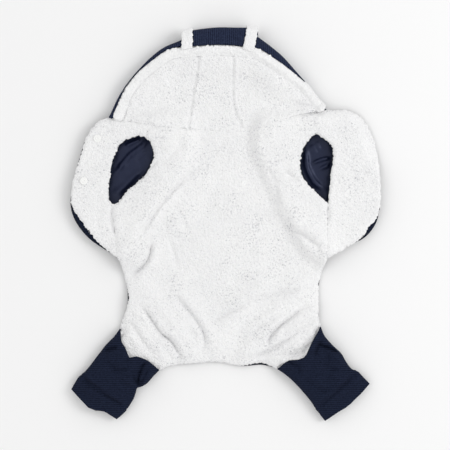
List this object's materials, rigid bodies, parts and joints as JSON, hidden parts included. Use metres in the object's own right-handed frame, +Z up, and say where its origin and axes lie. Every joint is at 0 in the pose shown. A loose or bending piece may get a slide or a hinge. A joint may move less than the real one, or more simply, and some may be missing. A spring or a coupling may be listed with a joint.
{
  "type": "dog jumpsuit",
  "caption": "Hooded dog jumpsuit laid open on its back: sherpa lining up, navy shell under, belly flaps with press studs, armholes with sleeves, and hind legs with cuffs.",
  "frame": {"origin": "middle of the ground under the garment as it lies", "axes": "+Z up, +Y towards the hood, +X to the right seen from above with the hood at the top"},
  "size_m": [0.4032, 0.512, 0.0272],
  "materials": {
    "navy_shell": "fine ribbed cloth, matt",
    "sherpa": "short curly pile, matt",
    "sleeve_cloth": "smooth cloth, slight sheen",
    "stud_plastic": "smooth"
  },
  "bodies": {
    "root": {"back_shell": "navy_shell", "back_lining": "sherpa", "chest_left_shell": "navy_shell", "chest_left_lining": "sherpa", "chest_right_shell": "navy_shell", "chest_right_lining": "sherpa", "hood_binding": "sherpa", "hood_shell_left": "navy_shell", "hood_lining_left": "sherpa", "hood_shell_centre": "navy_shell", "hood_lining_centre": "sherpa", "hood_shell_right": "navy_shell", "hood_lining_right": "sherpa", "hood_stripe_left": "sherpa", "hood_stripe_right": "sherpa", "sleeve_left": "sleeve_cloth", "leg_left_shell": "navy_shell", "leg_left_lining": "sherpa", "sleeve_right": "sleeve_cloth", "leg_right_shell": "navy_shell", "leg_right_lining": "sherpa", "stud_left_upper": "stud_plastic", "stud_left_lower": "stud_plastic", "stud_right_upper": "stud_plastic", "stud_right_lower": "stud_plastic"}
  },
  "joints": []
}
